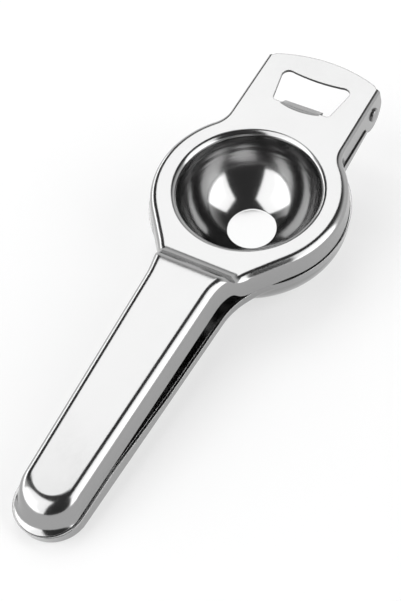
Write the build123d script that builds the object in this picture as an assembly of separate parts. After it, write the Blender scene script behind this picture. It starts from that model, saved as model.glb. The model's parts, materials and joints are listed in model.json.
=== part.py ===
from build123d import *
import os
from math import acos, atan2, cos, degrees, hypot, radians, sin, sqrt, tan

# Hinged lemon squeezer: two pressed stainless levers that turn on a pair of hinge studs.
# Everything is first drawn in the press frame: the upper ring's flat top is z = 0, the bowl's axis is
# z, and +X runs from the bowl to the hinge. At the end it is tilted to the way the squeezer
# stands on a table: on the foot of its strainer bowl and the end of its lower handle.

# ---- driving dimensions, in mm ----
lever_sheet = 1.0          # thickness of both levers
bowl_sheet = 1.0           # thickness of the press bowl

ring_radius = 34.3         # upper lever's ring, outside, at the foot of its skirt
skirt_depth = 8.4          # height of the upper lever's turned-down skirt
edge_radius = 3.0          # bend between flat top and skirt, outside
draft_slope = 0.107        # how far a skirt leans out, per mm of height

tab_half_width = 21.9      # hinge tab, outside of its flanges
tab_length = 58.4          # bowl axis to the tab's corners
tab_crown = 4.8            # how far the tab's end bows out past its corners
tab_blend = 10.0           # plan radius between tab and ring

handle_start = 45.0        # where the handle's width is given, from the bowl axis
handle_half_width = 13.1   # there, outside, at the foot of the skirt
handle_narrowing = 0.03    # loss of half width per mm of length
handle_length = 139.3      # bowl axis to the end of the handle
handle_end_slope = 0.72    # how far the handle's end leans out, per mm of height
neck_angle = 38.5          # between the handle's axis and the ring's straight flanks, in degrees
neck_blend = 30.0          # plan radius between flank and handle

step_start = 33.5          # where the upper handle starts to rise from the ring
step_height = 6.8          # how far it rises
step_angle = 62.0          # steepest part of the step, in degrees
step_foot_radius = 5.0
step_crest_radius = 4.5
handle_fall = 1.2          # slope of the upper handle down to its end, in degrees

ring_land = 3.4            # flat land between the ring's bend and its bowl opening
collar_radius = 2.4        # rounded collar that turns down into the opening
seat_gap = 0.05            # between the upper lever and the press bowl
flange_margin = 0.2        # from the press bowl's flange, spot welded under the ring, to the ring's bend
bowl_margin = 2.1          # from the ring's opening, where its collar starts, to the round bowl's inside
bowl_joggle_depth = 4.0    # down to here the press bowl's wall steps in under the collar
press_disc_radius = 8.6    # its flat bottom
press_depth = 22.9

cutout_start = 39.4        # bottle opener's cut-out, nearest the bowl
cutout_end = 54.8
cutout_start_half = 10.9
cutout_end_half = 13.7
cutout_sag = 1.5           # how far the cut-out's far edge bows in
cutout_near_corner = 1.5
cutout_far_corner = 2.6
tongue_half_width = 7.3    # the bent-down lip that catches the cap
tongue_length = 4.2
tongue_angle = 32.0        # its bend, in degrees
tongue_root = 1.4          # how far its root lies behind the cut-out's edge
tongue_corner = 1.2

pin_x = 53.2               # hinge axis
pin_drop = 7.5             # below the ring's top
pin_diameter = 5.0
pin_clearance = 0.05       # radial, in the upper ears
pin_proud = 0.8            # stud's end past the ear's outer face
pin_edge_radius = 0.4
stud_head_radius = 4.2
stud_head_height = 1.2
ear_radius = 6.6
ear_clearance = 0.3        # between upper ear and lower arm

rim_gap = 0.5              # between the two skirts at the ring
handle_gap = 0.35          # and at the handle's end
lower_margin = 0.5         # how far the lower lever stands out past the upper one
strainer_wall_depth = 3.6  # straight part of the strainer bowl's wall below its rim
strainer_curve_depth = 19.0
foot_radius = 9.0          # flat foot of the strainer bowl
channel_depth = 4.7        # lower handle's skirt at the neck
channel_end_depth = 5.5    # and at the handle's end
channel_margin = 0.9       # how far the lower handle stands out past the upper one at its sides
channel_edge_radius = 2.0  # bend between its bottom and its upright skirt, outside
rim_low_x = 78.0           # the lower rim rises slowly up to here, from the bowl axis
rim_low_rise = 1.7         # its rise up to there
rim_meet_x = 112.0         # from here to the end the two rims run side by side
lower_end_slope = 0.2      # how far the lower handle's end leans in, per mm of height
arm_end_radius = 4.3       # lower arm round the hinge stud
arm_root_x = 30.0          # where the lower arm's depth is given, from the bowl axis
arm_root_depth = 4.8       # and that depth, below the strainer bowl's rim
web_end = 44.0             # floor between the lower arms, from the bowl axis
web_wall_end = 49.0        # outer walls of the web, which curve in round the upper ears
web_edge_radius = 2.0

hole_diameter = 3.0        # juice holes
hole_pitch = 5.4
hole_rings = 4
holes_per_step = 6         # a ring of holes has this many more than the ring inside it

# ---- values worked out from them ----
reach = 90.0               # longer than any piece is wide, for cutting tools
upper_rim_z = -skirt_depth
lower_rim_z = upper_rim_z - rim_gap
ear_inner_y = tab_half_width - lever_sheet
arm_outer_y = ear_inner_y - ear_clearance
arm_inner_y = arm_outer_y - lever_sheet
handle_slope = tan(radians(handle_fall))
opening_radius = ring_radius - draft_slope * skirt_depth - edge_radius - ring_land
flange_radius = opening_radius + ring_land - flange_margin
bowl_radius = opening_radius - bowl_margin
strainer_rim_radius = ring_radius + lower_margin
strainer_curve_z = lower_rim_z - strainer_wall_depth
foot_z = strainer_curve_z - strainer_curve_depth * sqrt(1 - (foot_radius / ring_radius) ** 2)
channel_z = lower_rim_z - channel_depth


# ---- small helpers ----
def unit(x, y):
    """The direction of (x, y), as a vector of length one."""
    return Vector(x, y).normalized()


def xz(point):
    """A point of a side view, given by its X and Z, in space."""
    x, z, *_ = point
    return (x, 0, z)


def chain(points):
    """Straight edges of a side view through its points, closed."""
    return Polyline(*[xz(point) for point in points], close=True).edges()


def arc(centre, radius, start, end):
    """An arc of a side view about a centre, its angles in degrees from +X towards +Z."""
    def at(angle):
        return xz((centre[0] + radius * cos(radians(angle)), centre[1] + radius * sin(radians(angle))))

    return ThreePointArc(at(start), at((start + end) / 2), at(end))


def side_slab(edges, half_width=reach):
    """A closed side view as a slab across the part."""
    return extrude(Face(Wire(edges)), amount=half_width, dir=(0, 1, 0), both=True)


def revolved(edges):
    """A closed half section, turned about the bowl's axis."""
    return revolve(Face(Wire(edges)), axis=Axis.Z)


def cross_disc(radius, near_y, far_y):
    """A disc on the hinge axis between two places in Y."""
    low, high = sorted((near_y, far_y))
    face = Plane.XZ * Pos(pin_x, -pin_drop) * Circle(radius)
    return Pos(0, low, 0) * extrude(face, amount=high - low, dir=(0, 1, 0))


def edges_along(form, line, start_x, end_x):
    """Edges of a form that run along a side view's line and not across it, between two places in X."""
    near = lever_sheet / 50

    def follows(edge):
        middle = edge.position_at(0.5)
        on_line = line.distance_to(Vertex(middle.X, 0, middle.Z)) < near
        return on_line and start_x < middle.X < end_x and edge.bounding_box().size.X > near

    return form.edges().filter_by(follows)


# ---- plan of a lever ----
def plan_wire(level, inset=0.0, ring=ring_radius, half_width=handle_half_width, length=handle_length,
              tab=tab_length, ring_level=upper_rim_z, handle_level=upper_rim_z + step_height,
              end_level=upper_rim_z + step_height, slope=draft_slope, end_slope=handle_end_slope):
    """Plan of a lever at one height: tab, ring and handle with their blends, as one closed wire."""
    ring_r = ring - slope * (level - ring_level) - inset
    tab_w = tab_half_width - inset
    side = half_width - slope * (level - handle_level) - inset
    end_x = -(length - end_slope * (level - end_level) - inset * hypot(1, end_slope))
    tab_r = tab_blend + inset
    neck_r = neck_blend + inset

    # the blend that touches the tab's side and the ring
    tab_centre = Vector(sqrt((ring_r + tab_r) ** 2 - (tab_w + tab_r) ** 2), tab_w + tab_r)
    tab_on_side = Vector(tab_centre.X, tab_w)
    tab_on_ring = tab_centre * (ring_r / (ring_r + tab_r))
    tab_chord = (tab_on_side + tab_on_ring) * 0.5
    tab_middle = tab_centre + (tab_chord - tab_centre).normalized() * tab_r

    # the handle's side line and the ring's straight flank, by their outward normals, and their blend
    along = unit(-1, -handle_narrowing)
    out = Vector(along.Y, -along.X)
    start = Vector(-handle_start, side)
    flank_out = Vector(-sin(radians(neck_angle)), cos(radians(neck_angle)))
    flank_start = flank_out * ring_r
    from_side, from_flank = out.dot(start) + neck_r, ring_r + neck_r
    turn = out.X * flank_out.Y - out.Y * flank_out.X
    neck_centre = Vector(from_side * flank_out.Y - from_flank * out.Y,
                         from_flank * out.X - from_side * flank_out.X) * (1 / turn)
    neck_on_side = neck_centre - out * neck_r
    neck_on_flank = neck_centre - flank_out * neck_r
    neck_middle = neck_centre - (out + flank_out).normalized() * neck_r

    # the round end that touches both sides
    end_r = (out.X * (start.X - end_x) + out.Y * side) / (1 + out.X)
    end_on_side = Vector(end_x + end_r, 0) + out * end_r

    def at(point, sign=1):
        return (point.X, sign * point.Y, level)

    def half(sign):
        return [
            Line((tab, sign * tab_w, level), at(tab_on_side, sign)),
            ThreePointArc(at(tab_on_side, sign), at(tab_middle, sign), at(tab_on_ring, sign)),
            ThreePointArc(at(tab_on_ring, sign), (0, sign * ring_r, level), at(flank_start, sign)),
            Line(at(flank_start, sign), at(neck_on_flank, sign)),
            ThreePointArc(at(neck_on_flank, sign), at(neck_middle, sign), at(neck_on_side, sign)),
            Line(at(neck_on_side, sign), at(end_on_side, sign)),
        ]

    end = ThreePointArc(at(end_on_side), (end_x, 0, level), at(end_on_side, -1))
    front = ThreePointArc((tab, -tab_w, level), (tab + tab_crown, 0, level), (tab, tab_w, level))
    return Wire(half(1) + [end] + half(-1) + [front])


def plan_solid(low, high, **plan):
    """A lever's plan between two heights, with its leaning walls."""
    return loft([Face(plan_wire(low, **plan)), Face(plan_wire(high, **plan))], ruled=True)


# ---- upper lever ----
def step_points(sink=0.0):
    """Arc ends and middles of the upper handle's step, `sink` below the top surface."""
    foot_r = step_foot_radius + sink
    crest_r = step_crest_radius - sink
    steep = radians(step_angle)
    fall = radians(handle_fall)
    foot_centre = Vector(-step_start, step_foot_radius)
    rise_in_arcs = step_foot_radius * (1 - cos(steep)) + step_crest_radius * (cos(fall) - cos(steep))
    straight = max(step_height - rise_in_arcs, 0.0) / sin(steep)
    arc_end = foot_centre + Vector(-sin(steep), -cos(steep)) * step_foot_radius
    crest_centre = (arc_end + Vector(-cos(steep), sin(steep)) * straight
                    - Vector(sin(steep), cos(steep)) * step_crest_radius)

    def on_foot(angle):
        return foot_centre + Vector(-sin(angle), -cos(angle)) * foot_r

    def on_crest(angle):
        return crest_centre + Vector(sin(angle), cos(angle)) * crest_r

    return [on_foot(0), on_foot(steep / 2), on_foot(steep), on_crest(steep), on_crest((steep - fall) / 2),
            on_crest(-fall)]


def upper_foot_z(distance):
    """Height of the foot of the upper handle's skirt, at a distance from the bowl's axis."""
    crest = step_points()[-1]
    return crest.Y - skirt_depth - handle_slope * (distance + crest.X)


def stepped_line(sink, drop, front):
    """The upper lever's top in side view, from the hinge to past the handle, sunk and then dropped."""
    points = [point - Vector(0, drop) for point in step_points(sink)]
    far_x = -handle_length - reach / 2
    far = Vector(far_x, points[-1].Y - handle_slope * (points[-1].X - far_x))
    at = [xz((point.X, point.Y)) for point in points]
    return [
        Line((front, 0, -sink - drop), at[0]),
        ThreePointArc(at[0], at[1], at[2]),
        Line(at[2], at[3]),
        ThreePointArc(at[3], at[4], at[5]),
        Line(at[5], (far.X, 0, far.Y)),
    ]


def upper_form(inset, foot_drop, tab):
    """The upper lever as a full form: its outside, or its inside with an inset of one sheet."""
    front = tab + reach
    top = stepped_line(inset, 0, front)
    foot = stepped_line(0, foot_drop, front)
    ends = [Line(top[0] @ 0, foot[0] @ 0), Line(top[-1] @ 1, foot[-1] @ 1)]
    plan = plan_solid(-2 * foot_drop, step_height + edge_radius, inset=inset, tab=tab,
                      end_level=upper_foot_z(handle_length))
    form = plan & side_slab(top + foot + ends)
    rim = edges_along(form, Wire(top), -handle_length - reach, tab)
    return fillet(rim, edge_radius - inset)


def collar():
    """The rounded lip that turns down into the bowl opening."""
    centre = (opening_radius, -collar_radius)
    inner = collar_radius - lever_sheet
    root = opening_radius + lever_sheet / 2
    foot = Vector(opening_radius - collar_radius, -collar_radius)
    return revolved([
        Line((root, 0, 0), (opening_radius, 0, 0)),
        arc(centre, collar_radius, 90, 180),
        Line(xz(foot), xz(foot + Vector(lever_sheet, 0))),
        arc(centre, inner, 180, 90),
        Line((opening_radius, 0, -lever_sheet), (root, 0, -lever_sheet)),
        Line((root, 0, -lever_sheet), (root, 0, 0)),
    ])


def opener_cutout():
    """The bottle opener's cut-out as a cutting tool: a trapezium with round corners and a bowed end."""
    near = [(cutout_start, -cutout_start_half), (cutout_start, cutout_start_half)]
    far = [(cutout_end, cutout_end_half), (cutout_end, -cutout_end_half)]
    face = Face(Wire([
        Line(*near),
        Line(near[1], far[0]),
        ThreePointArc(far[0], (cutout_end - cutout_sag, 0), far[1]),
        Line(far[1], near[0]),
    ]))
    face = fillet(face.vertices().group_by(Axis.X)[0], cutout_near_corner)
    face = fillet(face.vertices().group_by(Axis.X)[-1], cutout_far_corner)
    return extrude(face, amount=lever_sheet * 2, both=True)


def opener_tongue():
    """The lip bent down from the cut-out's near edge, which catches a bottle cap."""
    bend = radians(tongue_angle)
    away = Vector(cos(bend), -sin(bend))
    under = Vector(-sin(bend), -cos(bend)) * lever_sheet
    start = Vector(cutout_start - tongue_root / 2, 0)
    tip = start + away * tongue_length
    root_x = cutout_start - tongue_root
    side = [(root_x, 0), (start.X, 0), (tip.X, tip.Y), (tip.X + under.X, tip.Y + under.Y),
            (start.X + under.X, under.Y), (root_x, -lever_sheet)]
    lip = side_slab(chain(side), tongue_half_width)
    corners = lip.edges().filter_by(Axis((0, 0, 0), (under.X, 0, under.Y))).group_by(Axis.X)[-1]
    return fillet(corners, tongue_corner)


def upper_lever():
    """Tab with bottle opener, ring with collar, stepped handle, and the skirt and ears round them."""
    outside = upper_form(0, skirt_depth, tab_length)
    inside = upper_form(lever_sheet, 2 * skirt_depth, tab_length + reach)
    shell = outside - inside - Cylinder(opening_radius, 4 * lever_sheet)
    shell += collar()
    shell = shell - opener_cutout() + opener_tongue()
    below_bend = Pos(pin_x, 0, -edge_radius - reach / 2) * Box(reach, reach, reach)
    for side in (1, -1):
        shell += cross_disc(ear_radius, side * ear_inner_y, side * tab_half_width) & below_bend
        shell -= cross_disc(pin_diameter / 2 + pin_clearance, side * arm_outer_y, side * reach)
    return shell.solid()


# ---- press bowl ----
def press_bowl():
    """Drawn bowl: flat flange, bend behind the collar, step inwards, round bowl and flat bottom disc."""
    inner_bend = collar_radius - lever_sheet - seat_gap
    outer_bend = inner_bend - bowl_sheet
    bend_centre = (opening_radius, -collar_radius)
    wall = Vector(opening_radius - inner_bend, -collar_radius)
    sphere_z = sqrt(bowl_radius ** 2 - press_disc_radius ** 2) - press_depth
    kink = Vector(sqrt(bowl_radius ** 2 - (bowl_joggle_depth + sphere_z) ** 2), -bowl_joggle_depth)
    outer_r = bowl_radius + bowl_sheet

    # the step's outer line, from the bend to where it meets the outer sphere
    down = (kink - wall).normalized()
    outward = Vector(-down.Y, down.X)
    step_top = wall + outward * bowl_sheet
    from_centre = step_top - Vector(0, sphere_z)
    along = from_centre.dot(down)
    step_length = -along - sqrt(along ** 2 - from_centre.dot(from_centre) + outer_r ** 2)
    step_end = step_top + down * step_length
    bottom_z = -press_depth - bowl_sheet
    disc_end = Vector(sqrt(outer_r ** 2 - (bottom_z - sphere_z) ** 2), bottom_z)

    def angle(point):
        return degrees(atan2(point.Y - sphere_z, point.X))

    def line(a, b):
        return Line(xz(a), xz(b))

    flange_top = -lever_sheet - seat_gap
    flange_foot = flange_top - bowl_sheet
    return revolved([
        line((flange_radius, flange_top), (opening_radius, flange_top)),
        arc(bend_centre, inner_bend, 90, 180),
        line(wall, kink),
        arc((0, sphere_z), bowl_radius, angle(kink), angle(Vector(press_disc_radius, -press_depth))),
        line((press_disc_radius, -press_depth), (0, -press_depth)),
        line((0, -press_depth), (0, bottom_z)),
        line((0, bottom_z), disc_end),
        arc((0, sphere_z), outer_r, angle(disc_end), angle(step_end)),
        line(step_end, step_top),
        line(step_top, (opening_radius - outer_bend, -collar_radius)),
        arc(bend_centre, outer_bend, 180, 90),
        line((opening_radius, flange_foot), (flange_radius, flange_foot)),
        line((flange_radius, flange_foot), (flange_radius, flange_top)),
    ])


# ---- lower lever ----
def strainer_form(inset):
    """The strainer bowl as a full form: its outside, or its inside with an inset of one sheet."""
    width = ring_radius - inset
    depth = strainer_curve_depth - inset
    floor_z = foot_z + inset
    floor_angle = degrees(acos((strainer_curve_z - floor_z) / depth))
    top_z = lower_rim_z + inset
    rim_r = strainer_rim_radius - inset
    curve = EllipticalCenterArc((0, strainer_curve_z), width, depth, start_angle=270 + floor_angle,
                                arc_size=90 - floor_angle)
    floor = curve @ 0
    above_rim = [(rim_r, top_z)] if inset else []
    section = Polyline((floor.X, floor.Y), (0, floor_z), (0, top_z), *above_rim, (rim_r, lower_rim_z),
                       (width, strainer_curve_z))
    face = Face(Wire([curve] + section.edges()))
    return revolve(Plane.XZ * face, axis=Axis.Z)


def channel_form(inset):
    """The lower handle as a full form: its outside, or its inside with an inset of one sheet."""
    end = handle_length + lower_margin
    end_foot_z = upper_foot_z(handle_length) - handle_gap - channel_end_depth
    fall = (end_foot_z - channel_z) / (end - step_start)
    far = end + reach / 2
    inside_bowl = -foot_radius
    bottom = [(-far, end_foot_z + fall * (far - end) + inset), (-step_start, channel_z + inset),
              (inside_bowl, channel_z + inset)]
    top = [(inside_bowl, lower_rim_z), (-step_start, lower_rim_z), (-rim_low_x, lower_rim_z + rim_low_rise),
           (-rim_meet_x, upper_foot_z(rim_meet_x) - handle_gap), (-far, upper_foot_z(far) - handle_gap)]
    if inset:
        top = [(inside_bowl, skirt_depth), (-far, skirt_depth)]
    plan = plan_solid(channel_z - skirt_depth, 2 * skirt_depth, inset=inset, length=end,
                      ring=ring_radius - lever_sheet / 2, ring_level=lower_rim_z,
                      half_width=handle_half_width + channel_margin,
                      end_level=upper_foot_z(handle_length) - handle_gap, slope=0,
                      end_slope=-lower_end_slope)
    form = plan & side_slab(chain(bottom + top))
    floor_line = Polyline(*[xz(point) for point in bottom])
    floor_edges = edges_along(form, Wire(floor_line.edges()), -far, inside_bowl - 1)
    return fillet(floor_edges, channel_edge_radius - inset)


def arm_foot_z(distance):
    """Height of the lower arm's bottom edge, at a distance from the bowl's axis."""
    root_z = lower_rim_z - arm_root_depth
    tip_z = -pin_drop - arm_end_radius
    return root_z + (tip_z - root_z) * (distance - arm_root_x) / (pin_x - arm_root_x)


def web_form(inset):
    """The channel between strainer bowl and hinge as a full form: its outside or its inside.

    Its walls stand out past the upper ears and curve in round them, and go on behind them as the arms."""
    start_x = foot_radius
    top_z = lower_rim_z + (skirt_depth if inset else 0)
    arm_y = arm_outer_y - inset

    def slab(end_x, half_width):
        outline = [(start_x, arm_foot_z(start_x) + inset), (end_x, arm_foot_z(end_x) + inset),
                   (end_x, top_z), (start_x, top_z)]
        form = side_slab(chain(outline), half_width)
        floor_line = Wire(Line(xz(outline[0]), xz(outline[1])).edges())
        return fillet(edges_along(form, floor_line, start_x + 1, end_x - 1), web_edge_radius - inset)

    walls = slab(web_wall_end + inset, tab_half_width + lower_margin - inset)
    for side in (1, -1):
        walls -= cross_disc(ear_radius + ear_clearance + inset, side * arm_y, side * reach)
    if inset:
        return walls + Pos(web_end + reach / 2, 0, 0) * Box(reach, 2 * arm_y, 2 * reach)
    return walls + slab(pin_x, arm_y) + cross_disc(arm_end_radius, -arm_y, arm_y)


def juice_holes():
    """Drills for the holes in the strainer bowl's bottom: one in the middle, then rings of them."""
    drill = Pos(0, 0, foot_z) * Cylinder(hole_diameter / 2, strainer_curve_depth)
    drills = [drill]
    for ring in range(1, hole_rings + 1):
        count = holes_per_step * ring
        for step in range(count):
            drills.append(Rot(0, 0, 360 * step / count) * Pos(ring * hole_pitch, 0, 0) * drill)
    return drills


def lower_lever():
    """Strainer bowl, handle channel, web and the two arms that carry the hinge studs."""
    outside = strainer_form(0) + channel_form(0) + web_form(0)
    shell = outside - strainer_form(lever_sheet) - channel_form(lever_sheet) - web_form(lever_sheet)
    return (shell - juice_holes() - cross_disc(pin_diameter / 2, -reach, reach)).solid()


# ---- hinge ----
def hinge_stud(side):
    """A short headed stud, pressed into a lower arm, on which the upper lever's ear turns."""
    head = cross_disc(stud_head_radius, side * (arm_inner_y - stud_head_height), side * arm_inner_y)
    shank = cross_disc(pin_diameter / 2, side * arm_inner_y, side * (tab_half_width + pin_proud))
    stud = (head + shank).solid()
    return fillet(stud.edges().group_by(Axis.Y)[-1 if side > 0 else 0], pin_edge_radius)


# ---- standing on a table ----
def standing_tilt():
    """Angle between the press frame and the table, in degrees: bowl foot and handle end touch down."""
    end = handle_length + lower_margin
    rim_z = upper_foot_z(handle_length) - handle_gap
    end_foot_z = rim_z - channel_end_depth
    fall = (end_foot_z - channel_z) / (end - step_start)
    corner_x = -end + lower_end_slope * channel_end_depth
    bend_r = channel_edge_radius
    bend_x = corner_x + bend_r * tan(radians(45) - atan2(lower_end_slope, 1) / 2 - atan2(fall, 1) / 2)
    bend_z = end_foot_z - fall * (bend_x - corner_x) + bend_r * hypot(1, fall)
    run, rise = -foot_radius - bend_x, bend_z - foot_z
    return degrees(acos(bend_r / hypot(run, rise)) - atan2(run, rise))


pieces = {
    "upper_lever": upper_lever(),
    "press_bowl": press_bowl(),
    "lower_lever": lower_lever(),
    "hinge_stud_left": hinge_stud(-1),
    "hinge_stud_right": hinge_stud(1),
}
tilt = Rot(0, -standing_tilt(), 0)
box = Compound(children=[tilt * piece for piece in pieces.values()]).bounding_box()
on_table = Pos(-box.center().X, 0, -box.min.Z) * tilt

os.makedirs("parts", exist_ok=True)
for name, piece in pieces.items():
    export_step(on_table * piece, f"parts/{name}.step")
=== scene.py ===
import json
import math

import bpy
import numpy as np
from mathutils import Matrix, Vector
from mathutils.geometry import delaunay_2d_cdt


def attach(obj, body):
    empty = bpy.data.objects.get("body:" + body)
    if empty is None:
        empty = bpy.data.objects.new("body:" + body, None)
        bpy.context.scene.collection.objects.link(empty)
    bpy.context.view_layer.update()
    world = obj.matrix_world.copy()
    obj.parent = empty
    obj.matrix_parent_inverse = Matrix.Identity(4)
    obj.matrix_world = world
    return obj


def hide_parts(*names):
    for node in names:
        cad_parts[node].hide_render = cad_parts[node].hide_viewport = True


# Hinged lemon squeezer of polished stainless steel. Its sheets are built here as fine meshes in the
# press frame, in millimetres: the upper ring's flat top is z = 0, the bowl's axis is z, and +X runs from
# the bowl to the hinge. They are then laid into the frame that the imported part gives.

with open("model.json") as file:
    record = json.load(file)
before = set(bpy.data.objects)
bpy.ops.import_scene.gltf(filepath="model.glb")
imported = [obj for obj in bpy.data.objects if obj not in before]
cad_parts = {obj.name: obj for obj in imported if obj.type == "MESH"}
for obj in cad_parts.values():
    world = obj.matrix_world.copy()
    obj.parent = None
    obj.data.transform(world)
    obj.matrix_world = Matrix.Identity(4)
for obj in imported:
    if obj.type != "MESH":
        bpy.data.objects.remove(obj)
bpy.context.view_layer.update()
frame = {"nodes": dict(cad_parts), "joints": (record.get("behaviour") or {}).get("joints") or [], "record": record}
MM = 0.001
SHEET = 1.0

# ---- the levers' plan ----
RING = 34.3
RING_LAND = 3.4
SKIRT = 8.4
DRAFT = math.atan(0.107)
TAB_HALF = 21.9
TAB_LENGTH = 58.4
TAB_CROWN = 4.75
TAB_BLEND = 10.0
HANDLE_START = 45.0
HANDLE_HALF = 13.1
HANDLE_NARROWING = 0.03
HANDLE_LENGTH = 139.3
NECK_ANGLE = math.radians(38.5)
NECK_BLEND = 30.0

# ---- the upper handle's step ----
STEP_START = 32.2
STEP_HEIGHT = 6.8
STEP_ANGLE = math.radians(56)
STEP_FOOT_RADIUS = 6.2
STEP_CREST_RADIUS = 5.0
CREST_EASE_ANGLE = math.radians(12)     # below this the crest runs out into the handle
CREST_EASE_RADIUS = 20.0                # along a wide arc
HANDLE_FALL = math.radians(1.2)

# ---- bends of the upper lever's skirt: radius, wall angle, flare radius and the angle it ends at ----
RING_BEND = (3.0, math.pi / 2 - DRAFT, 0.0, 0.0)
SIDE_BEND = (3.6, math.radians(80), 0.0, 0.0)
TAB_BEND = (1.5, math.pi / 2, 0.0, 0.0)
TIP_BEND = (7.0, math.radians(63), 4.0, math.radians(20))

# ---- bowl opening and press bowl ----
COLLAR_RADIUS = 2.4
SEAT_GAP = 0.05
FLANGE = 30.2
BOWL_MARGIN = 2.1
BOWL_JOGGLE_DEPTH = 4.0
PRESS_DISC = 8.6
PRESS_DEPTH = 22.9

# ---- bottle opener ----
CUTOUT_START = 39.4
CUTOUT_END = 54.8
CUTOUT_START_HALF = 10.9
CUTOUT_END_HALF = 13.7
CUTOUT_SAG = 1.5
CUTOUT_NEAR_CORNER = 1.5
CUTOUT_FAR_CORNER = 2.6
TONGUE_HALF = 7.3
TONGUE_ROOT = 0.9
TONGUE_BULGE = 1.2
TONGUE_TIP = 42.6
TONGUE_DROP = 2.5
TONGUE_SOFTNESS = 0.25

# ---- hinge ----
PIN_X = 53.2
PIN_DROP = 7.5
PIN_RADIUS = 2.5
PIN_CLEARANCE = 0.05
EAR_RADIUS = 6.6

# ---- how finely the sheets are divided ----
TURN_POINTS = 240            # round the bowl's axis
TAB_POINTS = 24              # along the plan: tab's side, blend, ring, flank, neck, handle's side and tip
TAB_BLEND_POINTS = 20
RING_POINTS = 90
FLANK_POINTS = 12
NECK_POINTS = 36
SIDE_POINTS = 70
TIP_POINTS = 40
CROWN_POINTS = 41            # across the tab's end
BEND_LEVELS = 22             # down the skirt, on its bend and on its wall
WALL_LEVELS = 20
LEVEL_STEP = 0.02            # the drop over which the skirt's slope is taken
LEVEL_DIGITS = 6
SLOPE_STEP = 0.05            # the same along the top
STEP_ROW = 0.25              # between the rows of points that carry the step
ROWS_BEFORE_STEP = 1.0
ROWS_AFTER_STEP = 15.0
ROW_POINTS = 16
ROW_END_GAP = 0.4
COLLAR_POINTS = 20
PRESS_BEND_POINTS = 14
PRESS_BOWL_POINTS = 90
DISC_EDGE = 0.3              # a narrow ring that keeps the disc's edge crisp
DISC_CENTRE = 0.001
EAR_POINTS = 60
EAR_FOOT_POINTS = 12
PIN_POINTS = 48
CORNER_POINTS = 10
FAR_EDGE_POINTS = 7
TONGUE_COLUMNS = 15
TONGUE_ROWS = 17
CURVE_SAMPLES = 1500         # on curves that are only looked up
STEP_SAMPLES = 400
CORNER_COSINE = 0.8          # cut edges that agree better than this are shaded as one curve
WELD_DIGITS = 3              # points that agree to this many decimals are one
FILL_TOLERANCE = 1e-5
TINY = 1e-9

# ---- from the press frame to the row frame ----
hinge = frame["joints"][0]
foot_axis = frame["record"]["mounts"][0]["axis"]
tilt = Matrix.Rotation(-math.atan2(foot_axis[0], -foot_axis[2]), 4, "Y")
pin_in_press = Vector((PIN_X, 0, -PIN_DROP)) * MM
PRESS = Matrix.Translation(Vector(hinge["pos_m"]) - tilt @ pin_in_press) @ tilt


# ---- mesh tools ----
def grid_faces(rows, columns, closed=False):
    """Quads of a grid whose points are stored row by row; closed joins the last column to the first."""
    last = columns if closed else columns - 1
    return [(r * columns + c, r * columns + (c + 1) % columns, (r + 1) * columns + (c + 1) % columns,
             (r + 1) * columns + c) for r in range(rows - 1) for c in range(last)]


def inside_loops(points, loops):
    """Which points lie inside an odd number of closed loops."""
    inside = np.zeros(len(points), bool)
    for loop in loops:
        a, b = np.asarray(loop), np.roll(np.asarray(loop), -1, axis=0)
        for (ax, ay), (bx, by) in zip(a, b):
            crosses = (ay > points[:, 1]) != (by > points[:, 1])
            if ay != by:
                inside ^= crosses & (points[:, 0] < (bx - ax) * (points[:, 1] - ay) / (by - ay) + ax)
    return inside


def fill(loops, extra=()):
    """Triangles between closed loops of plane points: the first loop is the outside, the rest are holes."""
    points, edges = [], []
    for loop in loops:
        start = len(points)
        points += [Vector(p) for p in loop]
        edges += [(start + i, start + (i + 1) % len(loop)) for i in range(len(loop))]
    points += [Vector(p) for p in extra]
    found, _, faces, *_ = delaunay_2d_cdt(points, edges, [], 0, FILL_TOLERANCE)
    flat = np.array([(p.x, p.y) for p in found])
    faces = np.array(faces)
    kept = faces[inside_loops(flat[faces].mean(axis=1), loops)]
    return flat, [tuple(int(i) for i in face) for face in kept]


def facing(points, normals, faces):
    """The faces, each turned so that it faces the way its points' normals do."""
    turned = []
    for face in faces:
        p = points[list(face)]
        across = np.cross(p[1] - p[0], p[-1] - p[0]) + np.cross(p[2] - p[1], p[0] - p[1])
        turned.append(face if across @ normals[list(face)].sum(axis=0) >= 0 else face[::-1])
    return turned


def weld(patches):
    """Joins patches of (points, normals, faces) where their points meet, with the mean of their normals."""
    places, points, normals, faces = {}, [], [], []
    for patch_points, patch_normals, patch_faces in patches:
        index = []
        for point, normal in zip(patch_points, patch_normals):
            key = tuple(np.round(point, WELD_DIGITS) + 0.0)
            if key not in places:
                places[key] = len(points)
                points.append(np.array(point, float))
                normals.append(np.zeros(3))
            index.append(places[key])
            normals[places[key]] += normal
        for face in facing(np.asarray(patch_points), np.asarray(patch_normals), patch_faces):
            corners = [index[i] for i in face]
            corners = [c for i, c in enumerate(corners) if c != corners[i - 1]]
            if len(corners) > 2:
                faces.append(tuple(corners))
    normals = np.array(normals)
    return np.array(points), normals / np.linalg.norm(normals, axis=1)[:, None], faces


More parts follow.
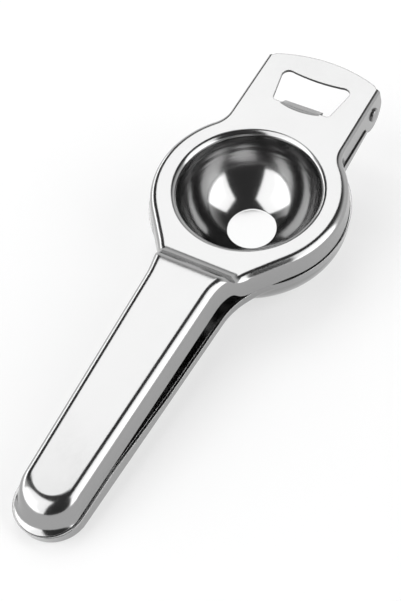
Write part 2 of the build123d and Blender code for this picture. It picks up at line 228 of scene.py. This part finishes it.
def rim(points, normals, faces, thickness):
    """The cut edge of a sheet: quads with points and normals of their own along its open edges."""
    used = {}
    for face in faces:
        for a, b in zip(face, face[1:] + face[:1]):
            used[(a, b)] = used.get((a, b), 0) + 1
    open_edges = [edge for edge in used if (edge[1], edge[0]) not in used]
    outward = {}
    for a, b in open_edges:
        out = np.cross(points[b] - points[a], normals[a] + normals[b])
        size = np.linalg.norm(out)
        outward[(a, b)] = out / size if size > TINY else out
    near = {}
    for a, b in open_edges:
        near.setdefault(a, []).append((a, b))
        near.setdefault(b, []).append((a, b))
    rim_points, rim_normals, rim_faces = [], [], []
    for a, b in open_edges:
        start = len(rim_points)
        for v in (b, a):
            own = outward[(a, b)]
            smooth = [outward[e] for e in near[v] if outward[e] @ own > CORNER_COSINE]
            normal = np.sum(smooth, axis=0) if smooth else own
            for depth in ((0, thickness) if v == b else (thickness, 0)):
                rim_points.append(points[v] - normals[v] * depth)
                rim_normals.append(normal)
        rim_faces.append((start, start + 3, start + 2, start + 1))
    return np.array(rim_points), np.array(rim_normals), rim_faces


def sheet_metal(name, patches, thickness, materials, body, nodes):
    """A pressed sheet as an object: its shown side, the same a thickness behind it, and its cut edges.

    The first material is for the two sides and the second for the cut edges."""
    points, normals, faces = weld(patches)
    count = len(points)
    edge_points, edge_normals, edge_faces = rim(points, normals, faces, thickness)
    all_points = np.vstack([points, points - normals * thickness, edge_points])
    all_normals = np.vstack([normals, -normals, edge_normals])
    all_faces = list(faces) + [tuple(i + count for i in face[::-1]) for face in faces]
    all_faces += [tuple(i + 2 * count for i in face) for face in edge_faces]
    mesh = bpy.data.meshes.new(name)
    mesh.from_pydata((all_points * MM).tolist(), [], all_faces)
    mesh.transform(PRESS)
    turn = np.array(PRESS.to_3x3())
    laid = all_normals @ turn.T
    laid /= np.maximum(np.linalg.norm(laid, axis=1), TINY)[:, None]
    mesh.polygons.foreach_set("use_smooth", [True] * len(mesh.polygons))
    mesh.normals_split_custom_set_from_vertices(laid.tolist())
    for material in materials:
        mesh.materials.append(material)
    side_or_edge = [0] * (2 * len(faces)) + [1] * len(edge_faces)
    mesh.polygons.foreach_set("material_index", side_or_edge)
    piece = bpy.data.objects.new(name, mesh)
    bpy.context.scene.collection.objects.link(piece)
    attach(piece, body)
    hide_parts(*nodes)
    return piece


def circle(count):
    """Points evenly round a circle of radius 1."""
    angles = np.arange(count) * 2 * math.pi / count
    return np.column_stack([np.cos(angles), np.sin(angles)])


def turned(profile, normals):
    """A patch turned about the bowl's axis from (radius, z) points with their normals."""
    ring = circle(TURN_POINTS)
    points = [np.column_stack([ring * r, np.full(TURN_POINTS, z)]) for r, z in profile]
    outs = [np.column_stack([ring * r, np.full(TURN_POINTS, z)]) for r, z in normals]
    return np.concatenate(points), np.concatenate(outs), grid_faces(len(profile), TURN_POINTS, closed=True)


def arc_section(centre, radius, start, end, count, side=1):
    """Points and normals of an arc in section; side 1 gives normals away from the centre, -1 towards it."""
    angles = np.radians(np.linspace(start, end, count))
    out = np.column_stack([np.cos(angles), np.sin(angles)])
    return np.array(centre) + radius * out, side * out


# ---- plan outline at one level ----
def unit(v):
    return v / np.linalg.norm(v)


def spread(start, end, count):
    return np.linspace(start, end, count, endpoint=False)


def plan_outline(ring, tab_half, side_half, tip_x, tab_blend, neck_blend):
    """Half of a lever's plan, from the tab's corner round to the middle of the handle's end.

    Gives the points and their outward normals; the first TAB_POINTS lie on the tab's straight side."""
    blend_y = tab_half + tab_blend
    tab_centre = np.array([math.sqrt((ring + tab_blend) ** 2 - blend_y ** 2), blend_y])
    along = unit(np.array([-1, -HANDLE_NARROWING]))
    out = np.array([along[1], -along[0]])
    start = np.array([-HANDLE_START, side_half])
    flank_out = np.array([-math.sin(NECK_ANGLE), math.cos(NECK_ANGLE)])
    neck_centre = np.linalg.solve([flank_out, out], [ring + neck_blend, out @ start + neck_blend])
    neck_foot = neck_centre - out * neck_blend
    end_r = (out[0] * (start[0] - tip_x) + out[1] * side_half) / (1 + out[0])
    end_centre = np.array([tip_x + end_r, 0.0])
    side_foot = end_centre + out * end_r

    def arc(centre, radius, begin, finish, count, sign):
        angles = spread(begin, finish, count)
        direction = np.column_stack([np.cos(angles), np.sin(angles)])
        return centre + radius * direction, sign * direction

    def angle(v):
        return math.atan2(v[1], v[0])

    def line(a, b, normal, count):
        share = spread(0, 1, count)[:, None]
        return a + (b - a) * share, np.tile(normal, (count, 1))

    up = np.array([0.0, 1.0])
    tab_foot = np.array([tab_centre[0], tab_half])
    flank_start = neck_centre - flank_out * neck_blend
    parts = [
        line(np.array([TAB_LENGTH, tab_half]), tab_foot, up, TAB_POINTS),
        arc(tab_centre, tab_blend, -math.pi / 2, angle(-tab_centre), TAB_BLEND_POINTS, -1),
        arc(np.zeros(2), ring, angle(tab_centre), angle(flank_out), RING_POINTS, 1),
        line(flank_out * ring, flank_start, flank_out, FLANK_POINTS),
        arc(neck_centre, neck_blend, angle(-flank_out), angle(-out), NECK_POINTS, -1),
        line(neck_foot, side_foot, out, SIDE_POINTS),
        arc(end_centre, end_r, angle(out), math.pi, TIP_POINTS, 1),
    ]
    points = np.concatenate([p for p, _ in parts] + [[[tip_x, 0.0]]])
    normals = np.concatenate([n for _, n in parts] + [[[-1.0, 0.0]]])
    return points, normals


def bend_section(bend, depth):
    """How far a skirt stands out from the flat's edge, from the flat to its foot: drops and reaches."""
    radius, wall, flare, flare_end = bend
    angle = np.linspace(0, wall, CURVE_SAMPLES)
    reach = [radius * np.sin(angle)]
    drop = [radius * (1 - np.cos(angle))]
    flare_drop = flare * (math.cos(flare_end) - math.cos(wall))
    straight = (depth - radius * (1 - math.cos(wall)) - flare_drop) / math.sin(wall)
    share = np.linspace(0, 1, CURVE_SAMPLES)[1:]
    reach.append(reach[-1][-1] + share * straight * math.cos(wall))
    drop.append(drop[-1][-1] + share * straight * math.sin(wall))
    if flare:
        back = np.linspace(wall, flare_end, CURVE_SAMPLES)[1:]
        reach.append(reach[-1][-1] + flare * (math.sin(wall) - np.sin(back)))
        drop.append(drop[-1][-1] + flare * (np.cos(back) - math.cos(wall)))
    return np.concatenate(drop), np.concatenate(reach)


def inset_at(bend, depth, drop):
    """How far inside the skirt's foot its surface lies at a drop below the flat."""
    drops, reaches = bend_section(bend, depth)
    return reaches[-1] - np.interp(drop, drops, reaches)


# ---- upper lever ----
def step_top():
    """The upper lever's stepped top in side view: distances from the bowl's axis, and heights."""
    steep, ease = STEP_ANGLE, CREST_EASE_ANGLE
    arcs = (STEP_FOOT_RADIUS * (1 - math.cos(steep))
            + STEP_CREST_RADIUS * (math.cos(ease) - math.cos(steep))
            + CREST_EASE_RADIUS * (math.cos(HANDLE_FALL) - math.cos(ease)))
    straight = (STEP_HEIGHT - arcs) / math.sin(steep)
    a = np.linspace(0, steep, STEP_SAMPLES)
    x = [STEP_START + STEP_FOOT_RADIUS * np.sin(a)]
    z = [STEP_FOOT_RADIUS * (1 - np.cos(a))]
    x.append([x[-1][-1] + straight * math.cos(steep)])
    z.append([z[-1][-1] + straight * math.sin(steep)])
    for radius, first, last in ((STEP_CREST_RADIUS, steep, ease), (CREST_EASE_RADIUS, ease, -HANDLE_FALL)):
        a = np.linspace(first, last, STEP_SAMPLES)[1:]
        x.append(x[-1][-1] + radius * (math.sin(first) - np.sin(a)))
        z.append(z[-1][-1] + radius * (np.cos(a) - math.cos(first)))
    x.append([x[-1][-1] + HANDLE_LENGTH])
    z.append([z[-1][-1] - HANDLE_LENGTH * math.tan(HANDLE_FALL)])
    return np.concatenate(x), np.concatenate(z)


STEP_X, STEP_Z = step_top()


def top_z(x):
    return np.interp(-np.asarray(x, float), STEP_X, STEP_Z)


def top_slope(x):
    return (top_z(x + SLOPE_STEP) - top_z(x - SLOPE_STEP)) / (2 * SLOPE_STEP)


def upright_normals(slope):
    """Directions square to a top that climbs along X, one for each slope."""
    return np.column_stack([-slope, np.zeros_like(slope), np.ones_like(slope)])


def upper_plan(drop):
    """Half of the upper lever's plan at a drop below its top."""
    ring_in = inset_at(RING_BEND, SKIRT, drop)
    side_in = inset_at(SIDE_BEND, SKIRT, drop)
    tip_in = inset_at(TIP_BEND, SKIRT, drop)
    tab_in = inset_at(TAB_BEND, SKIRT, drop)
    return plan_outline(RING - ring_in, TAB_HALF - tab_in, HANDLE_HALF - side_in, -HANDLE_LENGTH + tip_in,
                        TAB_BLEND + tab_in, NECK_BLEND + side_in)


def skirt_levels():
    """Drops below the flat at which the skirt's plan is taken: close together where it bends."""
    first = RING_BEND[0] * (1 - np.cos(np.linspace(0, math.pi / 2, BEND_LEVELS)))
    rest = np.linspace(first[-1], SKIRT, WALL_LEVELS)[1:]
    return np.unique(np.round(np.concatenate([first, rest, [TAB_BEND[0]]]), LEVEL_DIGITS))


def mirrored(points, normals, faces):
    """A patch and its mirror image across the lever's middle."""
    flip = np.array([1, -1, 1])
    return [(points, normals, faces), (points * flip, normals * flip, faces)]


def skirt_patches():
    """The upper lever's skirt with its bend, its plan at the flat's edge, and two edges of the tab's side."""
    levels = skirt_levels()
    rows, normals = [], []
    for drop in levels:
        plan, out = upper_plan(drop)
        drop_before = drop - LEVEL_STEP if drop > LEVEL_STEP else drop / 2
        drop_after = min(drop + LEVEL_STEP, SKIRT)
        moved = upper_plan(drop_after)[0] - upper_plan(drop_before)[0]
        outward = (moved * out).sum(axis=1)
        sink = drop_after - drop_before
        slope = top_slope(plan[:, 0])
        normal = np.column_stack([out[:, 0] * sink - slope * outward, out[:, 1] * sink, outward])
        if drop == 0:
            normal = upright_normals(slope)
        rows.append(np.column_stack([plan, top_z(plan[:, 0]) - drop]))
        normals.append(normal / np.linalg.norm(normal, axis=1)[:, None])
    rows, normals = np.array(rows), np.array(normals)
    bend_rows = int((levels <= TAB_BEND[0]).sum())
    last = bend_rows - 1
    bend, wall = rows[:bend_rows], rows[last:, TAB_POINTS:]
    patches = mirrored(bend.reshape(-1, 3), normals[:bend_rows].reshape(-1, 3), grid_faces(*bend.shape[:2]))
    patches += mirrored(wall.reshape(-1, 3), normals[last:, TAB_POINTS:].reshape(-1, 3),
                        grid_faces(*wall.shape[:2]))
    return patches, rows[0], rows[last, :TAB_POINTS + 1], rows[last:, TAB_POINTS]


def ear_patch(tab_top, tab_side):
    """The tab's flat side with its ear, filled between the bend above it, the ring and its own foot."""
    pin = np.array([PIN_X, -PIN_DROP])
    corner = tab_top[0, [0, 2]]
    to_pin = pin - corner
    distance = np.linalg.norm(to_pin)
    half_angle = math.asin(EAR_RADIUS / distance)
    turn = math.atan2(to_pin[1], to_pin[0]) + half_angle
    touch = corner + math.sqrt(distance ** 2 - EAR_RADIUS ** 2) * np.array([math.cos(turn), math.sin(turn)])
    begin = math.atan2(*(touch - pin)[::-1])
    finish = -math.pi + math.asin((SKIRT - PIN_DROP) / EAR_RADIUS)
    angles = np.linspace(begin, finish, EAR_POINTS)
    ear = pin + EAR_RADIUS * np.column_stack([np.cos(angles), np.sin(angles)])
    foot_x = np.linspace(tab_side[-1, 0], ear[-1, 0], EAR_FOOT_POINTS)[1:-1]
    foot = np.column_stack([foot_x, np.full(len(foot_x), -SKIRT)])
    outline = np.vstack([tab_top[:, [0, 2]], tab_side[1:, [0, 2]], foot, ear[::-1]])
    hole = pin + (PIN_RADIUS + PIN_CLEARANCE) * circle(PIN_POINTS)
    flat, faces = fill([outline.tolist(), hole.tolist()])
    points = np.column_stack([flat[:, 0], np.full(len(flat), TAB_HALF), flat[:, 1]])
    return mirrored(points, np.tile([0.0, 1.0, 0.0], (len(points), 1)), faces)


def rounded_polygon(corners, radii):
    """A closed polygon with round corners, as points."""
    points = []
    total = len(corners)
    for i, corner in enumerate(corners):
        corner = np.array(corner, float)
        before = unit(np.array(corners[i - 1], float) - corner)
        after = unit(np.array(corners[(i + 1) % total], float) - corner)
        half = math.acos(np.clip(before @ after, -1, 1)) / 2
        radius = radii[i]
        if radius == 0:
            points.append(corner)
            continue
        centre = corner + unit(before + after) * radius / math.sin(half)
        begin = corner + before * radius / math.tan(half) - centre
        end = corner + after * radius / math.tan(half) - centre
        start_angle = math.atan2(begin[1], begin[0])
        swing = (math.atan2(end[1], end[0]) - start_angle + math.pi) % (2 * math.pi) - math.pi
        for angle in start_angle + np.linspace(0, 1, CORNER_POINTS) * swing:
            points.append(centre + radius * np.array([math.cos(angle), math.sin(angle)]))
    return points


TONGUE_Y = np.linspace(-TONGUE_HALF, TONGUE_HALF, TONGUE_COLUMNS)


def tongue_root(y):
    """Where the tongue's bend begins, which bows towards the bowl."""
    return CUTOUT_START - TONGUE_ROOT - TONGUE_BULGE * (1 - (y / TONGUE_HALF) ** 2)


def cutout_outline():
    """The opener's cut-out, with the notch that its tongue bends out of."""
    inner = CUTOUT_END_HALF - 2 * CUTOUT_FAR_CORNER
    far_y = [CUTOUT_END_HALF, *np.linspace(inner, -inner, FAR_EDGE_POINTS), -CUTOUT_END_HALF]
    far = [(CUTOUT_END - CUTOUT_SAG * (1 - (y / CUTOUT_END_HALF) ** 2), y) for y in far_y]
    tongue = [(tongue_root(y), y) for y in TONGUE_Y]
    corners = [(CUTOUT_START, -CUTOUT_START_HALF), (CUTOUT_START, -TONGUE_HALF)] + tongue
    corners += [(CUTOUT_START, TONGUE_HALF), (CUTOUT_START, CUTOUT_START_HALF)] + far
    radii = [0.0] * len(corners)
    radii[0] = radii[-len(far) - 1] = CUTOUT_NEAR_CORNER
    radii[-len(far)] = radii[-1] = CUTOUT_FAR_CORNER
    return rounded_polygon(corners, radii)


def tongue_patch():
    """The lip that bends down from the cut-out's near edge to a straight free edge."""
    soft = TONGUE_SOFTNESS
    full = math.hypot(1, soft) - soft
    points, normals = [], []
    for share in np.linspace(0, 1, TONGUE_ROWS):
        for y in TONGUE_Y:
            root = tongue_root(y)
            drop = TONGUE_DROP * (math.hypot(share, soft) - soft) / full
            slope = TONGUE_DROP / (TONGUE_TIP - root) * share / math.hypot(share, soft) / full
            points.append((root + share * (TONGUE_TIP - root), y, -drop))
            normals.append(unit(np.array([slope, 0, 1])))
    return np.array(points), np.array(normals), grid_faces(TONGUE_ROWS, TONGUE_COLUMNS)


def opening_radius():
    return RING - SKIRT * math.tan(DRAFT) - RING_BEND[0] - RING_LAND


def collar_patch():
    """The rounded collar that turns down into the bowl opening."""
    section, normals = arc_section((opening_radius(), -COLLAR_RADIUS), COLLAR_RADIUS, 90, 180, COLLAR_POINTS)
    return turned(section, normals)


def half_width_at(edge, x):
    """Half the flat's width at a place along the handle."""
    handle = edge[edge[:, 0] < -RING / 2]
    order = np.argsort(handle[:, 0])
    return float(np.interp(x, handle[order, 0], handle[order, 1]))


def top_patch(edge):
    """The flat top, the step and the handle's top, between the bend's edge and the openings."""
    tab_half = edge[0, 1]
    crown_radius = (TAB_HALF ** 2 + TAB_CROWN ** 2) / (2 * TAB_CROWN)
    crown_centre = TAB_LENGTH + TAB_CROWN - crown_radius
    crown_y = np.linspace(-tab_half, tab_half, CROWN_POINTS)[1:-1]
    crown = [(crown_centre + math.sqrt(crown_radius ** 2 - y ** 2), y) for y in crown_y]
    outline = [tuple(p) for p in edge[:, :2]] + [(p[0], -p[1]) for p in edge[-2::-1, :2]] + crown
    hole = opening_radius() * circle(TURN_POINTS)
    extra = []
    for x in np.arange(-STEP_START - ROWS_AFTER_STEP, -STEP_START + ROWS_BEFORE_STEP, STEP_ROW):
        width = half_width_at(edge, x) - ROW_END_GAP
        extra += [(x, y) for y in np.linspace(-width, width, ROW_POINTS)]
    flat, faces = fill([outline, hole.tolist(), [tuple(p) for p in cutout_outline()]], extra)
    slope = top_slope(flat[:, 0])
    normals = upright_normals(slope)
    normals /= np.linalg.norm(normals, axis=1)[:, None]
    return np.column_stack([flat, top_z(flat[:, 0])]), normals, faces


def upper_lever(materials):
    """The upper lever's sheet: skirt, ears, top, collar and the opener's lip."""
    patches, edge, tab_top, tab_side = skirt_patches()
    patches += ear_patch(tab_top, tab_side)
    patches += [top_patch(edge), collar_patch(), tongue_patch()]
    return sheet_metal("upper_lever_sheet", patches, SHEET, materials, "upper",
                       ["upper_lever"])


# ---- press bowl ----
def press_bowl(materials):
    """The drawn bowl under the ring: flange, bend behind the collar, step inwards, round bowl, flat disc."""
    opening = opening_radius()
    bend = COLLAR_RADIUS - SHEET - SEAT_GAP
    radius = opening - BOWL_MARGIN
    centre_z = math.sqrt(radius ** 2 - PRESS_DISC ** 2) - PRESS_DEPTH
    start = -math.degrees(math.asin((BOWL_JOGGLE_DEPTH + centre_z) / radius))
    end = math.degrees(math.atan2(-PRESS_DEPTH - centre_z, PRESS_DISC))
    bend_points, bend_normals = arc_section((opening, -COLLAR_RADIUS), bend, 90, 180, PRESS_BEND_POINTS)
    bowl_points, bowl_normals = arc_section((0, centre_z), radius, start, end, PRESS_BOWL_POINTS, -1)
    disc = [[r, -PRESS_DEPTH] for r in (PRESS_DISC, PRESS_DISC - DISC_EDGE, DISC_CENTRE)]
    sections = [
        (np.vstack([[FLANGE, -SHEET - SEAT_GAP], bend_points]), np.vstack([[0, 1], bend_normals])),
        (np.vstack([bend_points[-1], bowl_points[0]]), np.vstack([bend_normals[-1], bowl_normals[0]])),
        (bowl_points, bowl_normals),
        (np.array(disc), np.array([[0, 1]] * len(disc))),
    ]
    patches = [turned(points, normals) for points, normals in sections]
    return sheet_metal("press_bowl_sheet", patches, SHEET, materials, "upper", ["press_bowl"])


# ---- materials ----
EDGE_ROUNDING = 0.35 * MM    # stamping leaves cut edges this round
LINE_STRETCH = 0.04          # how fine the polishing lines are along X, as a share of across it
NOISE_HIGH = 0.75            # the noise hardly passes this
BEVEL_SAMPLES = 6
PAPER = "a1a1a1"
PAPER_ROUGHNESS = 0.9


def linear(hex_colour):
    """An sRGB hex colour as linear RGBA."""
    channels = [int(hex_colour[i:i + 2], 16) / 255 for i in (0, 2, 4)]
    return tuple(c / 12.92 if c <= 0.04045 else ((c + 0.055) / 1.055) ** 2.4 for c in channels) + (1.0,)


def add(tree, kind, links=None, values=None, **settings):
    """Adds a node with its settings, its inputs' values, and links from other nodes' outputs."""
    node = tree.nodes.new(kind)
    for name, value in settings.items():
        setattr(node, name, value)
    for name, value in (values or {}).items():
        node.inputs[name].default_value = value
    for name, source in (links or {}).items():
        tree.links.new(source, node.inputs[name])
    return node


def polished_stainless(name, colour, smooth, dull, line_mm, patch_mm, relief_mm):
    """Polished stainless steel: fine lines from the polishing belt along X, in patches of unequal gloss.

    The roughness lies between smooth and dull; the relief is the height of the sheet's slight waviness."""
    material = bpy.data.materials.new(name)
    material.use_nodes = True
    tree = material.node_tree
    shader = tree.nodes["Principled BSDF"]
    shader.inputs["Base Color"].default_value = linear(colour)
    shader.inputs["Metallic"].default_value = 1.0
    place = add(tree, "ShaderNodeTexCoord").outputs["Object"]
    drawn_out = add(tree, "ShaderNodeMapping", {"Vector": place}, {"Scale": (LINE_STRETCH, 1.0, 1.0)})
    lines = add(tree, "ShaderNodeTexNoise", {"Vector": drawn_out.outputs["Vector"]},
                {"Scale": 1 / (line_mm * MM)})
    patches = add(tree, "ShaderNodeTexNoise", {"Vector": place}, {"Scale": 1 / (patch_mm * MM)})
    both = add(tree, "ShaderNodeMath", {0: lines.outputs["Fac"], 1: patches.outputs["Fac"]},
               operation="MULTIPLY")
    gloss = add(tree, "ShaderNodeMapRange", {"Value": both.outputs[0]},
                {"From Max": NOISE_HIGH ** 2, "To Min": smooth, "To Max": dull})
    tree.links.new(gloss.outputs["Result"], shader.inputs["Roughness"])
    edges = add(tree, "ShaderNodeBevel", values={"Radius": EDGE_ROUNDING},
                samples=BEVEL_SAMPLES)
    relief = add(tree, "ShaderNodeBump",
                 {"Height": patches.outputs["Fac"], "Normal": edges.outputs["Normal"]},
                 {"Distance": relief_mm * MM})
    tree.links.new(relief.outputs["Normal"], shader.inputs["Normal"])
    return material


def drawn_wall(material, deep_mm, shallow_mm, extra, ring_mm, relief_mm):
    """Makes the bowl's wall duller, with faint rings, from a depth below the ring's top up to a lesser one.

    Extra is the roughness it gains there, and the rings' spacing and height are ring_mm and relief_mm."""
    tree = material.node_tree
    shader = tree.nodes["Principled BSDF"]
    rough, normal = shader.inputs["Roughness"], shader.inputs["Normal"]
    axis = PRESS.to_3x3().col[2]
    top = PRESS.translation.dot(axis)
    place = add(tree, "ShaderNodeTexCoord").outputs["Object"]
    height = add(tree, "ShaderNodeVectorMath", {0: place}, {1: axis},
                 operation="DOT_PRODUCT").outputs["Value"]
    rise = add(tree, "ShaderNodeMapRange", {"Value": height},
               {"From Min": top - deep_mm * MM, "From Max": top - shallow_mm * MM},
               interpolation_type="SMOOTHSTEP").outputs["Result"]
    total = add(tree, "ShaderNodeMath", {0: rise, 2: rough.links[0].from_socket}, {1: extra},
                operation="MULTIPLY_ADD")
    tree.links.new(total.outputs[0], rough)
    rings = add(tree, "ShaderNodeTexNoise", {"W": height}, {"Scale": 1 / (ring_mm * MM)},
                noise_dimensions="1D")
    waves = add(tree, "ShaderNodeMath", {0: rings.outputs["Fac"], 1: rise}, operation="MULTIPLY")
    relief = add(tree, "ShaderNodeBump", {"Height": waves.outputs[0], "Normal": normal.links[0].from_socket},
                 {"Distance": relief_mm * MM})
    tree.links.new(relief.outputs["Normal"], normal)


# a mirror with faint lines along the handle, which soften the edges of what it reflects
lever_steel = polished_stainless("belt_polished_stainless", "9d9d9d", smooth=0.12, dull=0.22,
                                 line_mm=0.25, patch_mm=14.0, relief_mm=0.02)
# the drawn bowl is buffed brighter than the levers, so that its lobes end crisply, but less up its wall
bowl_steel = polished_stainless("buffed_drawn_stainless", "a2a2a2", smooth=0.09, dull=0.17,
                                line_mm=0.3, patch_mm=9.0, relief_mm=0.01)
drawn_wall(bowl_steel, deep_mm=16.0, shallow_mm=2.0, extra=0.08, ring_mm=2.4, relief_mm=0.12)
# the studs are turned, which leaves them a little darker and duller
stud_steel = polished_stainless("turned_stainless", "8f8f8f", smooth=0.2, dull=0.3,
                                line_mm=0.12, patch_mm=3.0, relief_mm=0.005)
# blanking leaves the cut edges dull; their colour is also made darker, as painted shade, which outlines the
# opener's cut-out
edge_steel_painted_shade = polished_stainless("blanked_stainless_edge_painted_shade", "6a6a6a", smooth=0.35, dull=0.5,
                                line_mm=0.2, patch_mm=3.0, relief_mm=0.02)
for name, node in frame["nodes"].items():
    for slot in node.material_slots:
        slot.material = stud_steel if name.startswith("hinge_stud") else lever_steel
# the cut edges take the second material, whose darker colour is painted shade
upper_lever((lever_steel, edge_steel_painted_shade))
press_bowl((bowl_steel, edge_steel_painted_shade))


def toward(azimuth, elevation=0.0):
    """A unit vector at an azimuth from +X towards +Y and an elevation, both in degrees."""
    a, e = math.radians(azimuth), math.radians(elevation)
    return Vector((math.cos(a) * math.cos(e), math.sin(a) * math.cos(e), math.sin(e)))


# ---- camera ----
FOCAL_PX = 1393.36
IMAGE = (401, 601)
SENSOR = 36.0
AIM = Vector((-47.370, -7.245, 0.0))
DISTANCE = 445.57
AZIMUTH = 215.051
ELEVATION = 55.557
ROLL = math.radians(-7.920)


def camera_matrix():
    """The camera's place in the press frame, in metres."""
    back = toward(AZIMUTH, ELEVATION)
    right = Vector((0, 0, 1)).cross(back).normalized()
    up = back.cross(right)
    rolled = math.cos(ROLL) * right + math.sin(ROLL) * up
    rolled_up = -math.sin(ROLL) * right + math.cos(ROLL) * up
    place = (AIM + back * DISTANCE) * MM
    return Matrix.Translation(place) @ Matrix((rolled, rolled_up, back)).transposed().to_4x4()


data = bpy.data.cameras.new("camera")
data.sensor_width = SENSOR
data.lens = FOCAL_PX * SENSOR / max(IMAGE)
camera = bpy.data.objects.new("camera", data)
camera.matrix_world = PRESS @ camera_matrix()
bpy.context.scene.collection.objects.link(camera)
bpy.context.scene.camera = camera


# ---- studio, in metres ----
KEY_RADIANCE = 2.67
PANEL_RADIANCE = 2.57
WALL_RADIANCE = 1.08
CEILING_RADIANCE = 0.06
KEY_PLACE = Vector((0.385, 0.42, 0.96))
FLOOR_GLOW = 0.56
FLOOR_HALF = 4.0
WHITE = (1, 1, 1, 1)


def seen_rays(tree):
    """1 for rays that show a surface to the eye, straight or in a mirror or glass, and 0 for the rest."""
    path = add(tree, "ShaderNodeLightPath").outputs
    total = add(tree, "ShaderNodeMath", {0: path["Is Camera Ray"], 1: path["Is Glossy Ray"]}, operation="ADD")
    return add(tree, "ShaderNodeMath", {0: total.outputs[0], 1: path["Is Transmission Ray"]},
               operation="ADD", use_clamp=True).outputs[0]


def floor_material():
    """White paper, which shows a little brighter than the lamps make it and keeps the shadow."""
    material = bpy.data.materials.new("white_paper")
    material.use_nodes = True
    tree = material.node_tree
    shader = tree.nodes["Principled BSDF"]
    shader.inputs["Base Color"].default_value = linear(PAPER)
    shader.inputs["Roughness"].default_value = PAPER_ROUGHNESS
    shader.inputs["Specular IOR Level"].default_value = 0.0
    shader.inputs["Emission Color"].default_value = WHITE
    glow = add(tree, "ShaderNodeMath", {0: seen_rays(tree)}, {1: FLOOR_GLOW}, operation="MULTIPLY")
    tree.links.new(glow.outputs[0], shader.inputs["Emission Strength"])
    return material


def softbox(name, width, height, place, aim, radiance):
    """An area lamp of a given radiance that faces a point."""
    lamp = bpy.data.lights.new(name, "AREA")
    lamp.shape = "RECTANGLE"
    lamp.size, lamp.size_y = width, height
    lamp.energy = radiance * math.pi * width * height
    holder = bpy.data.objects.new(name, lamp)
    holder.location = place
    holder.rotation_euler = (Vector(aim) - Vector(place)).to_track_quat("-Z", "Y").to_euler()
    holder.visible_camera = False
    bpy.context.scene.collection.objects.link(holder)


def panel(name, width, height, azimuth, distance, middle):
    """An upright softbox with its middle at a height, which faces the object's side."""
    place = toward(azimuth) * distance + Vector((0, 0, middle))
    softbox(name, width, height, place, (0, 0, middle), PANEL_RADIANCE)


floor_mesh = bpy.data.meshes.new("floor")
corners = [(x * FLOOR_HALF, y * FLOOR_HALF, 0) for x, y in ((-1, -1), (1, -1), (1, 1), (-1, 1))]
floor_mesh.from_pydata(corners, [], [(0, 1, 2, 3)])
floor = bpy.data.objects.new("floor", floor_mesh)
floor_mesh.materials.append(floor_material())
bpy.context.scene.collection.objects.link(floor)

softbox("key_softbox", 0.83, 0.76, KEY_PLACE, (KEY_PLACE.x, KEY_PLACE.y, 0), KEY_RADIANCE)
panel("left_panel", width=1.65, height=2.5, azimuth=146, distance=1.2, middle=1.3)
panel("low_panel", width=1.7, height=0.46, azimuth=84, distance=1.6, middle=0.26)
panel("right_panel", width=0.98, height=1.8, azimuth=274, distance=1.0, middle=0.93)


def lobe(tree, direction, middle, inner, outer):
    """1 within an angle of a direction, falling smoothly to 0 at a wider one, in degrees."""
    dot = add(tree, "ShaderNodeVectorMath", {0: direction}, {1: middle}, operation="DOT_PRODUCT")
    soft = add(tree, "ShaderNodeMapRange", {"Value": dot.outputs["Value"]},
               {"From Min": math.cos(math.radians(outer)), "From Max": math.cos(math.radians(inner))},
               interpolation_type="SMOOTHSTEP")
    return soft.outputs["Result"]


def studio_world():
    """A room with grey walls, a dark ceiling, and dark sides behind the camera and behind the key lamp."""
    world = bpy.data.worlds.new("studio")
    bpy.context.scene.world = world
    world.use_nodes = True
    tree = world.node_tree
    direction = add(tree, "ShaderNodeTexCoord").outputs["Generated"]
    ceiling = lobe(tree, direction, toward(0, 90), inner=34, outer=66)
    camera_side = lobe(tree, direction, toward(205, 35), inner=40, outer=50)
    behind_key = lobe(tree, direction, toward(67, 36), inner=22, outer=30)
    above = add(tree, "ShaderNodeMath", {0: ceiling, 1: behind_key}, operation="MAXIMUM")
    dark = add(tree, "ShaderNodeMath", {0: above.outputs[0], 1: camera_side}, operation="MAXIMUM")
    level = add(tree, "ShaderNodeMapRange", {"Value": dark.outputs[0]},
                {"To Min": WALL_RADIANCE, "To Max": CEILING_RADIANCE})
    back = tree.nodes["Background"]
    tree.links.new(level.outputs["Result"], back.inputs["Strength"])
    back.inputs["Color"].default_value = WHITE


studio_world()
bpy.context.scene.view_settings.view_transform = "Standard"
